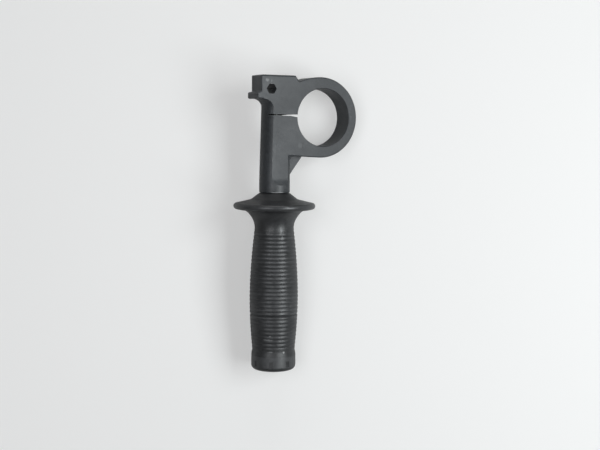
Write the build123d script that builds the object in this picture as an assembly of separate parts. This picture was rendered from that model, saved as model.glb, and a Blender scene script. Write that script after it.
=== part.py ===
from build123d import *
import math
import os

# A clamp-on side handle for a hammer drill, in millimetres.
# The origin is the centre of the drill's collar. +Z runs up the handle's axis towards the jaw,
# +X runs from the handle's axis to the ring, and Y is the collar's own axis, front face at -Y.

# Clamp moulding: the ring round the drill's collar and the web that joins it to the handle
collar_d = 43.0
collar_to_axis = 14.1
clamp_width = 18.6
ring_wall_far = 6.65
ring_wall_side = 8.25
web_rise = 1.95
bore_chamfer = 0.4
edge_round = 0.9

# Jaw above the slit, its end lip and the notch beside the ring, heights from the ring's top
jaw_rise = 0.6
jaw_reach = 15.4
jaw_corner_r = 1.6
jaw_back_r = 2.4
jaw_rim_r = 1.4
notch_start = 12.5
notch_x = 15.3
notch_depth = 4.4
notch_r = 1.0
notch_brow_r = 1.5
lip_reach = 3.1
lip_drop = 12.35
lip_thick = 4.3
lip_slope = 1.0
lip_tip_r = 2.0
lip_root_r = 1.3
lip_fillet_r = 6.2

# Slit that lets the ring close, its hinge web left uncut at the far end and its flare at the bore.
# The draft is how far its upper face falls from the front to the back.
slit_z = 1.35
slit_mouth_gap = 1.0
slit_hinge_gap = 0.8
slit_hinge_rise = 0.3
slit_draft = 0.6
hinge_wall = 1.3
relief_x = 8.3
relief_gap = 2.0
relief_drop = 0.4

# Hexagonal hole for a depth rod
rod_hole_af = 7.0
rod_hole_x = 7.25
rod_hole_drop = 9.5

# Shank between the jaw and the grip: an oval at the jaw, round at the grip
shank_r = 11.35
shank_jaw_half_x = 9.6
shank_jaw_half_y = 11.3
shank_jaw_drop = 14.25
shank_length = 27.7
shank_chamfer = 0.4
collar_h = 9.5
flat_stop = 12.7
flat_runout_r = 13.7
underside_fillet_r = 3.6
gusset_thick = 4.0
gusset_reach = 21.4
gusset_drop = 16.0
ejector_mark_r = 2.1
ejector_mark_depth = 0.2
ejector_mark_x = 16.5
ejector_mark_z = 20.6

# Bolt, nut and washer, of metric size 8
bolt_d = 8.0
bolt_length = 100.0
bolt_proud = 1.7
bolt_tip_chamfer = 0.8
bolt_head_af = 13.0
bolt_head_h = 5.3
nut_af = 13.0
nut_h = 6.5
nut_chamfer = 0.5
nut_floor = 4.2
washer_d = 16.0
washer_hole_d = 8.4
washer_t = 1.6

# Clearances of the fits
thread_clearance = 0.05
bolt_bore_clearance = 0.3
bolt_tip_clearance = 0.6
insert_clearance = 0.02
nut_side_clearance = 0.1
nut_height_clearance = 0.3
washer_side_clearance = 0.5
washer_face_gap = 0.02
shank_grip_gap = 0.4

# Grip: the cone and the hand guard flange, then neck, belly, waist and butt going down
cone_top_r = 11.5
cone_foot_r = 17.6
cone_h = 4.8
flange_r = 30.35
flange_top_fall = 2.5
flange_rim_t = 4.6
flange_under_w = 3.5
flange_under_fall = 0.3
flare_r = 19.0
flare_h = 3.0
neck_r = 14.5
neck_h = 10.8
belly_r = 18.05
belly_power = 1.8
neck_to_belly = 51.0
waist_r = 15.8
waist_power = 2.0
belly_to_waist = 39.8
butt_r = 16.55
butt_rise = 4.2
butt_length = 14.85
butt_round_r = 3.5
butt_dish_r = 9.0
butt_dish_depth = 0.8

# Grooves between the ribs, and the shallow notches round the butt
rib_pitch = 2.94
rib_start = 2.1
rib_depth = 0.5
rib_groove_w = 1.3
deep_groove_drop = 89.8
deep_groove_depth = 0.9
butt_notch_count = 8
butt_notch_w = 2.9
butt_notch_h = 4.5
butt_notch_rise = 3.4
butt_notch_depth = 0.35
butt_notch_turn = 58.3

# Places that follow from the sizes
collar_r = collar_d / 2
half_width = clamp_width / 2
axis_x = -(collar_r + collar_to_axis)
ring_r = collar_r + ring_wall_side
ring_x = ring_wall_far - ring_wall_side
web_z = web_rise - ring_r
jaw_top = ring_r + jaw_rise
jaw_end = axis_x - jaw_reach
lip_end = jaw_end - lip_reach
lip_high = ring_r - lip_drop
lip_low = lip_high - lip_thick
shank_jaw_z = ring_r - shank_jaw_drop
shank_foot = web_z - shank_length
grip_top = shank_foot - shank_grip_gap
washer_low = grip_top + washer_face_gap
nut_seat = slit_z + slit_mouth_gap / 2 + nut_floor
bolt_tip = nut_seat + nut_h + bolt_proud
bolt_seat = bolt_tip - bolt_length
bolt_r = bolt_d / 2 - thread_clearance
rim_high = cone_h + flange_top_fall
rim_low = rim_high + flange_rim_t
flare_drop = rim_low + flange_under_fall + flare_h
neck_drop = flare_drop + neck_h
belly_drop = neck_drop + neck_to_belly
waist_drop = belly_drop + belly_to_waist
grip_length = waist_drop + butt_length
grip_end = grip_top - grip_length
cut_margin = 5.0
overlap = 1.0
flare_ledge = 0.1


def hexagon(across_flats, turn=0):
    # A flat hexagon of this size across its flats, with corners along X when it isn't turned
    return RegularPolygon(across_flats / 2 / math.cos(math.radians(30)), 6, rotation=turn)


def vertical_rod(radius, low, high, x=axis_x):
    # A cylinder along Z between two heights
    return Pos(x, 0, low) * Cylinder(radius, high - low, align=(Align.CENTER, Align.CENTER, Align.MIN))


def underside_touch():
    # Where the straight underside, drawn from below the handle's axis, meets the ring
    dx = axis_x - ring_x
    turn = math.atan2(web_z, dx) + math.acos(ring_r / math.hypot(dx, web_z))
    return (ring_x + ring_r * math.cos(turn), ring_r * math.sin(turn))


def underside_z(x):
    # Height of the straight underside at this x
    touch_x, touch_z = underside_touch()
    return web_z + (touch_z - web_z) * (x - axis_x) / (touch_x - axis_x)


def clamp_outline():
    # Side outline of the jaw, the ring and the web between them
    ring_top = (ring_x, ring_r)
    lip_root = (jaw_end, lip_high + lip_slope)
    brow = (axis_x + notch_start, jaw_top)
    notch = (axis_x + notch_x, jaw_top - notch_depth)
    touch = underside_touch()
    with BuildSketch(Plane.XZ) as outline:
        with BuildLine():
            Polyline((axis_x, lip_low), (lip_end, lip_low), (lip_end, lip_high), lip_root,
                     (jaw_end, jaw_top), brow, notch)
            TangentArc(ring_top, notch, tangent=(-1, 0))
            ThreePointArc(ring_top, (ring_x + ring_r, 0), touch)
            Polyline(touch, (axis_x, web_z), (axis_x, lip_low))
        make_face()
        tips = outline.vertices().filter_by(lambda v: v.X < lip_end + lip_reach / 2)
        fillet(tips, lip_tip_r)
        for corner, radius in ((lip_root, lip_root_r), ((jaw_end, jaw_top), jaw_corner_r),
                               (brow, notch_brow_r), (notch, notch_r)):
            fillet(outline.vertices().sort_by_distance((*corner, 0))[0], radius)
    return outline.sketch


def clamp_plate():
    # The outline at full width, with its rims rounded
    plate = extrude(clamp_outline(), amount=half_width, both=True)
    faces = plate.faces().filter_by(Axis.Y)
    return fillet(faces.edges(), edge_round)


def shank():
    # Oval at the jaw, drawn down to a circle that carries on to the grip
    round_z = shank_foot + collar_h
    with BuildPart() as body:
        with BuildSketch(Plane((axis_x, 0, shank_jaw_z))):
            Ellipse(shank_jaw_half_x, shank_jaw_half_y)
        with BuildSketch(Plane((axis_x, 0, round_z))):
            Circle(shank_r)
        loft()
    foot = vertical_rod(shank_r, shank_foot, round_z)
    return body.part + chamfer(foot.edges().group_by(Axis.Z)[0], shank_chamfer)


def flared_shank():
    # The shank with a fillet all round it, up to the level of the jaw's underside
    flare_x = shank_jaw_half_x + lip_fillet_r + flare_ledge
    flare_y = shank_jaw_half_y + lip_fillet_r + flare_ledge
    ledge = extrude(Pos(axis_x, 0, lip_low) * Ellipse(flare_x, flare_y), amount=lip_thick - lip_tip_r)
    body = shank() + ledge
    inner = body.edges().filter_by(
        lambda e: e.geom_type == GeomType.BSPLINE and abs(e.center().Z - lip_low) < flare_ledge)
    return fillet(inner, lip_fillet_r)


def flat_cutter(side):
    # Removes what stands proud of one face, and ends in a round run-out above the grip
    flat_low = shank_foot + flat_stop
    outer_y = shank_jaw_half_y + lip_fillet_r + overlap
    outer_x = shank_jaw_half_x + lip_fillet_r + overlap
    swing = math.acos(1 - (outer_y - half_width) / flat_runout_r)

    def runout(angle):
        return (side * (half_width + flat_runout_r * (1 - math.cos(angle))),
                flat_low - flat_runout_r * math.sin(angle))

    top = jaw_top + cut_margin
    with BuildPart() as cutter:
        with BuildSketch(Plane.YZ.offset(axis_x - outer_x)):
            with BuildLine():
                Polyline(runout(swing), (runout(swing)[0], top), (side * half_width, top), runout(0))
                ThreePointArc(runout(0), runout(swing / 2), runout(swing))
            make_face()
        extrude(amount=2 * outer_x)
    return cutter.part


def underside_seam(body):
    # The curved edges where the shank enters the underside of the ring's web
    return body.edges().filter_by(
        lambda e: e.geom_type == GeomType.BSPLINE and abs(e.center().Z - web_z) < edge_round
        and e.center().X > axis_x)


def rim_cutter(side):
    # Rounds the jaw's top edge along one face
    centre_y = side * (half_width - jaw_rim_r)
    centre_z = jaw_top - jaw_rim_r
    low_x = lip_end
    length = notch_x - low_x + axis_x
    middle_x = low_x + length / 2
    reach = jaw_rim_r + overlap
    block = Pos(middle_x, centre_y + side * reach / 2, centre_z + reach / 2) * Box(length, reach, reach)
    return block - Pos(middle_x, centre_y, centre_z) * Rot(0, 90, 0) * Cylinder(jaw_rim_r, length + overlap)


def corner_cutter(end_x, low, high):
    # Rounds the back corner of the jaw's end, seen from above, between two heights
    centre_x = end_x + jaw_back_r
    centre_y = half_width - jaw_back_r
    reach = jaw_back_r + overlap
    middle = Pos(centre_x - reach / 2, centre_y + reach / 2, (low + high) / 2)
    block = middle * Box(reach, reach, high - low)
    return block - Pos(0, centre_y, 0) * vertical_rod(jaw_back_r, low - overlap, high + overlap, centre_x)


def collar_bore():
    # The bore for the drill's collar, with a chamfer at each face
    bore = Cylinder(collar_r, clamp_width + cut_margin)
    for side in (-1, 1):
        flare = Cone(collar_r, collar_r + bore_chamfer, bore_chamfer)
        if side < 0:
            flare = Cone(collar_r + bore_chamfer, collar_r, bore_chamfer)
        bore += Pos(0, 0, side * (half_width - bore_chamfer / 2)) * flare
    return Rot(90, 0, 0) * bore


def gusset():
    # Thin rib in the corner under the ring
    out_x = axis_x + gusset_reach
    side_x = axis_x + shank_r - edge_round
    with BuildPart() as rib:
        with BuildSketch(Plane.XZ):
            with BuildLine():
                Polyline((side_x, web_z + overlap), (out_x, web_z + overlap), (out_x, underside_z(out_x)),
                         (side_x, web_z - gusset_drop), close=True)
            make_face()
        extrude(amount=gusset_thick / 2, both=True)
    return rib.part


def slit_section(x, middle, gap):
    # The slit's section at this x, with its level lower face and its drafted upper one
    low = middle - gap / 2
    high = middle + gap / 2
    reach = half_width + overlap
    slope = slit_draft / clamp_width
    with BuildSketch(Plane.YZ.offset(x)) as section:
        with BuildLine():
            Polyline((-reach, low), (reach, low), (reach, high - slope * (reach + half_width)),
                     (-reach, high + slope * (reach - half_width)), close=True)
        make_face()
    return section.sketch


def slit_cutter():
    # The slit across the shank, from its hinge web to the relief
    hinge = slit_section(axis_x - shank_jaw_half_x + hinge_wall, slit_z + slit_hinge_rise, slit_hinge_gap)
    mouth = slit_section(axis_x + relief_x + overlap, slit_z, slit_mouth_gap)
    return loft([hinge, mouth], ruled=True)


def relief_cutter():
    # The flare of the slit where it meets the collar's bore
    mouth_x = axis_x + relief_x
    inner_x = -collar_r / 2
    low = slit_z - relief_drop - relief_gap / 2
    high = low + relief_gap
    with BuildPart() as cutter:
        with BuildSketch(Plane.XZ):
            with BuildLine():
                Polyline((mouth_x, slit_z - slit_mouth_gap / 2), (-collar_r, low), (inner_x, low),
                         (inner_x, high), (-collar_r, high), (mouth_x, slit_z + slit_mouth_gap / 2),
                         close=True)
            make_face()
        extrude(amount=half_width + cut_margin, both=True)
    return cutter.part


def rod_hole():
    # The depth rod's hexagonal hole, corners left and right, from face to face
    hole = extrude(Plane.XZ * hexagon(rod_hole_af), amount=clamp_width, both=True)
    return Pos(axis_x - rod_hole_x, 0, ring_r - rod_hole_drop) * hole


def nut_pocket():
    # The nut slides in from the back face and can't turn between the pocket's two sides
    across = nut_af + 2 * nut_side_clearance
    depth = half_width + cut_margin
    with BuildPart() as cutter:
        with BuildSketch(Plane((axis_x, 0, nut_seat))):
            add(hexagon(across, 30))
            with Locations((0, depth / 2)):
                Rectangle(across, depth)
        extrude(amount=nut_h + nut_height_clearance)
    return cutter.part


def ejector_mark():
    # Shallow round witness mark on the front face
    disc = extrude(Plane.XZ * Circle(ejector_mark_r), amount=overlap)
    return Pos(axis_x + ejector_mark_x, ejector_mark_depth - half_width, -ejector_mark_z) * disc


def make_clamp_body():
    post = flared_shank()
    for side in (-1, 1):
        post -= flat_cutter(side)
    body = clamp_plate() + post
    body = fillet(underside_seam(body), underside_fillet_r)
    body += gusset()
    for side in (-1, 1):
        body -= rim_cutter(side)
    body -= corner_cutter(jaw_end, lip_high, jaw_top + overlap)
    body -= corner_cutter(lip_end, lip_low - overlap, lip_high)
    body -= collar_bore()
    body -= slit_cutter()
    body -= relief_cutter()
    body -= rod_hole()
    body -= ejector_mark()
    body -= nut_pocket()
    bore_top = bolt_tip + bolt_tip_clearance
    body -= vertical_rod(bolt_d / 2 + bolt_bore_clearance, shank_foot - overlap, bore_top)
    recess_top = washer_low + washer_t + washer_face_gap
    body -= vertical_rod(washer_d / 2 + washer_side_clearance, shank_foot - overlap, recess_top)
    return body


def make_clamp_nut():
    # Hexagon nut with its corners turned off at both faces
    blank = extrude(Pos(axis_x, 0, nut_seat) * hexagon(nut_af, 30), amount=nut_h)
    corner_r = nut_af / 2 / math.cos(math.radians(30))
    turned = vertical_rod(corner_r, nut_seat, nut_seat + nut_h)
    turned = chamfer(turned.edges().filter_by(GeomType.CIRCLE), nut_chamfer)
    return (blank & turned) - vertical_rod(bolt_d / 2, nut_seat - overlap, nut_seat + nut_h + overlap)


def make_thrust_washer():
    # Plain washer that lies on the grip's top face
    disc = vertical_rod(washer_d / 2, washer_low, washer_low + washer_t)
    return disc - vertical_rod(washer_hole_d / 2, washer_low - overlap, washer_low + washer_t + overlap)


def make_grip_bolt():
    # Hexagon bolt, head down, at its thread's outer size
    stem = vertical_rod(bolt_r, bolt_seat, bolt_tip)
    stem = chamfer(stem.edges().group_by(Axis.Z)[-1], bolt_tip_chamfer)
    return stem + extrude(Pos(axis_x, 0, bolt_seat) * hexagon(bolt_head_af), amount=-bolt_head_h)


def belly_radius(drop):
    # Radius over the ribs, from the neck through the belly to the waist
    if drop <= belly_drop:
        share = (belly_drop - drop) / neck_to_belly
        return belly_r - (belly_r - neck_r) * share ** belly_power
    share = (drop - belly_drop) / belly_to_waist
    return belly_r - (belly_r - waist_r) * share ** waist_power


def belly_outline():
    # Lands and V grooves from the neck to the waist, as radius and drop below the grip's top
    first = neck_drop + rib_start
    count = int((waist_drop - rib_groove_w - first) / rib_pitch) + 1
    deep = round((deep_groove_drop - first) / rib_pitch)
    points = [(neck_r, neck_drop)]
    for index in range(count):
        centre = first + index * rib_pitch
        depth = deep_groove_depth if index == deep else rib_depth
        for drop, cut in ((centre - rib_groove_w / 2, 0), (centre, depth), (centre + rib_groove_w / 2, 0)):
            points.append((belly_radius(drop) - cut, drop))
    points.append((waist_r, waist_drop))
    return points


def grip_outline():
    # Half outline of the grip, from the middle of its top face round to the middle of its end
    def at(radius, drop):
        return (axis_x + radius, grip_top - drop)

    rim_r = flange_r - flange_rim_t / 2
    under = at(flange_r - flange_under_w, rim_low + flange_under_fall)
    belly = [at(radius, drop) for radius, drop in belly_outline()]
    butt_low = grip_length - butt_round_r
    round_mid = butt_round_r * math.sqrt(0.5)
    with BuildSketch(Plane.XZ) as outline:
        with BuildLine():
            Polyline(at(0, 0), at(cone_top_r, 0), at(cone_foot_r, cone_h), at(rim_r, rim_high))
            ThreePointArc(at(rim_r, rim_high), at(flange_r, (rim_high + rim_low) / 2), at(rim_r, rim_low))
            Line(at(rim_r, rim_low), under)
            Spline(under, at(flare_r, flare_drop), belly[0], tangents=((-1, -0.15), (0, -1)))
            Polyline(*belly)
            Spline(belly[-1], at(butt_r, waist_drop + butt_rise), tangents=((0.35, -1), (0, -1)))
            Line(at(butt_r, waist_drop + butt_rise), at(butt_r, butt_low))
            ThreePointArc(at(butt_r, butt_low), at(butt_r - butt_round_r + round_mid, butt_low + round_mid),
                          at(butt_r - butt_round_r, grip_length))
            Polyline(at(butt_r - butt_round_r, grip_length), at(0, grip_length), at(0, 0))
        make_face()
    return outline.sketch


def bolt_cavity():
    # The room that the moulding leaves for the bolt's stem and head
    fit = insert_clearance
    head = Pos(axis_x, 0, bolt_seat + fit) * hexagon(bolt_head_af + 2 * fit)
    stem = vertical_rod(bolt_r + fit, bolt_seat, grip_top + overlap)
    return stem + extrude(head, amount=-bolt_head_h - 2 * fit)


def make_grip():
    grip = revolve(grip_outline(), axis=Axis((axis_x, 0, 0), (0, 0, 1)))
    grip -= vertical_rod(butt_dish_r, grip_end - overlap, grip_end + butt_dish_depth)
    notch = Pos(butt_r, 0, grip_end + butt_notch_rise + butt_notch_h / 2) * Box(
        2 * butt_notch_depth, butt_notch_w, butt_notch_h)
    for index in range(butt_notch_count):
        grip -= Pos(axis_x, 0, 0) * Rot(0, 0, butt_notch_turn + index * 360 / butt_notch_count) * notch
    return grip - bolt_cavity()


nodes = {
    "clamp_body": make_clamp_body,
    "clamp_nut": make_clamp_nut,
    "thrust_washer": make_thrust_washer,
    "grip_bolt": make_grip_bolt,
    "grip": make_grip,
}

os.makedirs("parts", exist_ok=True)
for name, make in nodes.items():
    export_step(make(), f"parts/{name}.step")
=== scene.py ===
"""A clamp-on side handle for a power tool: moulded clamp, captive nut, washer, bolt and ribbed grip."""

import logging
import math
from dataclasses import dataclass
from enum import Enum
from functools import cached_property
from typing import Iterable, Sequence, Union

import bpy
from mathutils import Matrix, Vector


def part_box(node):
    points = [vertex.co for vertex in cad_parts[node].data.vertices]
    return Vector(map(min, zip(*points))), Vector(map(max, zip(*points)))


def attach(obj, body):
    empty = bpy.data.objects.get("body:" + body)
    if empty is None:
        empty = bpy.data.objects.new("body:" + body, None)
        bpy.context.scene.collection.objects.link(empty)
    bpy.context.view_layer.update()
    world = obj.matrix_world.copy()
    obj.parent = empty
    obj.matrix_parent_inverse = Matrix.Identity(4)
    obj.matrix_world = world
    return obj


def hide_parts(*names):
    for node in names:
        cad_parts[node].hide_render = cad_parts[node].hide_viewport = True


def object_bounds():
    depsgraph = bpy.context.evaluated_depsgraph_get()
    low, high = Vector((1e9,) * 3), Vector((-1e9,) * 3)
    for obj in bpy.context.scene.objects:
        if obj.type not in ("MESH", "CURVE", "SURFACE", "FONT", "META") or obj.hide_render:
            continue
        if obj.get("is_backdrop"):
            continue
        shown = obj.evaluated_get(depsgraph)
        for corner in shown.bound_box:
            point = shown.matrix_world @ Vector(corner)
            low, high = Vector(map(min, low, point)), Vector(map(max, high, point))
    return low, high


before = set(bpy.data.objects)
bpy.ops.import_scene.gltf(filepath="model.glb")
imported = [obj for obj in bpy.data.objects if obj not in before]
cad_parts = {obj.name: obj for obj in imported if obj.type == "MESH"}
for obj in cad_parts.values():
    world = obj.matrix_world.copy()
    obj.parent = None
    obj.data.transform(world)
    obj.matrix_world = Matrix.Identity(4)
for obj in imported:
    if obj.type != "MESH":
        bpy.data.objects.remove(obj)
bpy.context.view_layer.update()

MM = 0.001
MERGE_REACH = MM / 1000
NUMBER = "NodeSocketFloat"
WHOLE = "NodeSocketInt"
VECTOR = "NodeSocketVector"
GEOMETRY = "NodeSocketGeometry"
MATERIAL = "NodeSocketMaterial"

Point = tuple[float, float]
Triple = tuple[float, float, float]
Material = bpy.types.Material
Object = bpy.types.Object
Socket = bpy.types.NodeSocket
Tree = bpy.types.NodeTree
Value = Union[float, int, Sequence[float], Material, Socket]

log = logging.getLogger("side_handle")


class Body(Enum):
    """The moving bodies of the frame."""

    CLAMP = "clamp"
    WASHER = "washer"
    HANDLE = "handle"


class Slot(Enum):
    """The material slots of the record."""

    GRIP = "grip_plastic"
    STEEL = "zinc_plated_steel"


class Ridges(Enum):
    """How the ridges of a turned piece run round it: as closed rings or as a one-start thread."""

    RINGS = 0.0
    THREAD = 1.0


@dataclass(frozen=True)
class Patches:
    """Noise that is spread into soft patches.

    Attributes:
        scale: How fine they are, for each metre.
        detail: How many finer layers the noise has.
        roughness: How strong those layers are.
        low: Noise at which a patch begins.
        high: Noise at which it is full.
    """

    scale: float
    detail: float
    roughness: float
    low: float
    high: float


CLOUDS = Patches(38.0, 3.0, 0.6, 0.3, 0.7)
BLOTCHES = Patches(420.0, 4.0, 0.75, 0.35, 0.65)
BROKEN_EDGES = Patches(150.0, 3.0, 0.65, 0.3, 0.7)
RUBBED_CRESTS = Patches(110.0, 4.0, 0.7, 0.35, 0.75)
HANDLED_SKIN = Patches(230.0, 4.0, 0.7, 0.25, 0.7)
PATCHY_PLATING = Patches(420.0, 4.0, 0.65, 0.35, 0.7)


class Graph:
    """A node tree, written as calls that add nodes and link them by the values they are given.

    Attributes:
        tree: The node tree.
        given: A group's own inputs, by name.
        result: A group's own outputs, by name.
    """

    tree: Tree
    given: bpy.types.NodeOutputs
    result: bpy.types.NodeInputs

    def __init__(self, tree: Tree) -> None:
        """Starts on a tree."""
        self.tree = tree

    @classmethod
    def group(cls, name: str, kind: str, inputs: dict[str, tuple[str, Value]],
              outputs: dict[str, str]) -> "Graph":
        """Makes a node group with named sockets.

        Args:
            name: The group's name.
            kind: ShaderNodeTree or GeometryNodeTree.
            inputs: Each input's socket type and default, by name; None leaves the default.
            outputs: Each output's socket type, by name.

        Returns:
            The graph, with the group's inputs in given and its outputs in result.
        """
        graph = cls(bpy.data.node_groups.new(name, kind))
        for label, (socket_type, default) in inputs.items():
            socket = graph.tree.interface.new_socket(name=label, in_out="INPUT", socket_type=socket_type)
            if default is not None:
                socket.default_value = default
        for label, socket_type in outputs.items():
            graph.tree.interface.new_socket(name=label, in_out="OUTPUT", socket_type=socket_type)
        graph.given = graph.add("NodeGroupInput").outputs
        graph.result = graph.add("NodeGroupOutput").inputs
        return graph

    def add(self, kind: str, values: dict | None = None, **settings: object) -> bpy.types.Node:
        """Adds one node.

        Args:
            kind: The node's type name.
            values: Numbers or output sockets for its inputs, by name or place.
            settings: The node's own properties.

        Returns:
            The node.
        """
        node = self.tree.nodes.new(kind)
        for name, setting in settings.items():
            setattr(node, name, setting)
        for key, value in (values or {}).items():
            self.feed(node.inputs[key], value)
        return node

    def feed(self, socket: Socket, value: Value) -> None:
        """Links an output to a socket, or sets the socket to a number.

        Args:
            socket: The input socket.
            value: The output socket or the number.
        """
        if isinstance(value, Socket):
            self.tree.links.new(value, socket)
        else:
            socket.default_value = value

    def out(self, kind: str, values: dict | None = None, **settings: object) -> Socket:
        """Adds one node, as add does, and returns its first output."""
        return self.add(kind, values, **settings).outputs[0]

    def use(self, group: Tree, values: dict[str, Value]) -> bpy.types.NodeOutputs:
        """Places a shader node group with its own values.

        Args:
            group: The node group.
            values: The group's inputs, by name.

        Returns:
            The group's outputs.
        """
        node = self.tree.nodes.new("ShaderNodeGroup")
        node.node_tree = group
        for key, value in values.items():
            self.feed(node.inputs[key], value)
        return node.outputs

    def give(self, results: dict[str, Value]) -> Tree:
        """Ends a group.

        Args:
            results: What each output gives, by name.

        Returns:
            The group's tree.
        """
        for label, value in results.items():
            self.feed(self.result[label], value)
        return self.tree

    def close(self, geometry: Socket) -> Tree:
        """Ends a Geometry Nodes tree with real geometry in the tree's own material.

        Args:
            geometry: What the tree has made.

        Returns:
            The tree.
        """
        real = self.out("GeometryNodeRealizeInstances", {"Geometry": geometry})
        return self.give({"Geometry": self.out("GeometryNodeSetMaterial", {
            "Geometry": real, "Material": self.given["Material"]})})

    def math(self, operation: str, *terms: Value, clamp: bool = False) -> Socket:
        """Adds a Math node and returns its output."""
        return self.out("ShaderNodeMath", dict(enumerate(terms)), operation=operation, use_clamp=clamp)

    def vector(self, operation: str, *terms: Value) -> Socket:
        """Adds a Vector Math node and returns its vector, or its number where it gives one."""
        node = self.add("ShaderNodeVectorMath", dict(enumerate(terms)), operation=operation)
        return node.outputs["Value" if operation in ("DOT_PRODUCT", "LENGTH") else "Vector"]

    def combine(self, x: Value = 0.0, y: Value = 0.0, z: Value = 0.0) -> Socket:
        """Returns a vector of three numbers."""
        return self.out("ShaderNodeCombineXYZ", {0: x, 1: y, 2: z})

    def step(self, value: Value, low: Value, high: Value, least: float = 0.0, most: float = 1.0) -> Socket:
        """Returns a smooth step from least to most as the value goes from low to high."""
        return self.out("ShaderNodeMapRange", {0: value, 1: low, 2: high, 3: least, 4: most},
                        interpolation_type="SMOOTHSTEP")

    def noise(self, vector: Value, scale: Value, detail: float, roughness: float) -> Socket:
        """Returns noise between 0 and 1."""
        return self.out("ShaderNodeTexNoise", {"Vector": vector, "Scale": scale, "Detail": detail,
                                               "Roughness": roughness})

    def patches(self, vector: Value, look: Patches, least: float = 0.0) -> Socket:
        """Returns a mask of soft patches, which is 1 in them and the least value between them."""
        noise = self.noise(vector, look.scale, look.detail, look.roughness)
        return self.step(noise, look.low, look.high, least)

    def mix(self, factor: Value, first: Value, second: Value) -> Socket:
        """Returns a colour between two."""
        return self.add("ShaderNodeMix", {0: factor, 6: first, 7: second}, data_type="RGBA").outputs[2]

    def bump(self, height: Value, depth: float) -> Socket:
        """Returns a normal that is bumped by a height, which stands for this many metres."""
        return self.out("ShaderNodeBump", {"Height": height, "Strength": 1.0, "Distance": depth})


@dataclass(frozen=True)
class Row:
    """One point of a half outline.

    Attributes:
        radius: Distance from the turning axis.
        height: Place along the axis.
        ridged: How deep the grooves between the ridges are cut here, as a share of the full depth.
        faceted: 1 where the flats of a hexagon cut the turned form, otherwise 0.
    """

    radius: float
    height: float
    ridged: float = 0.0
    faceted: float = 0.0


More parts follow.
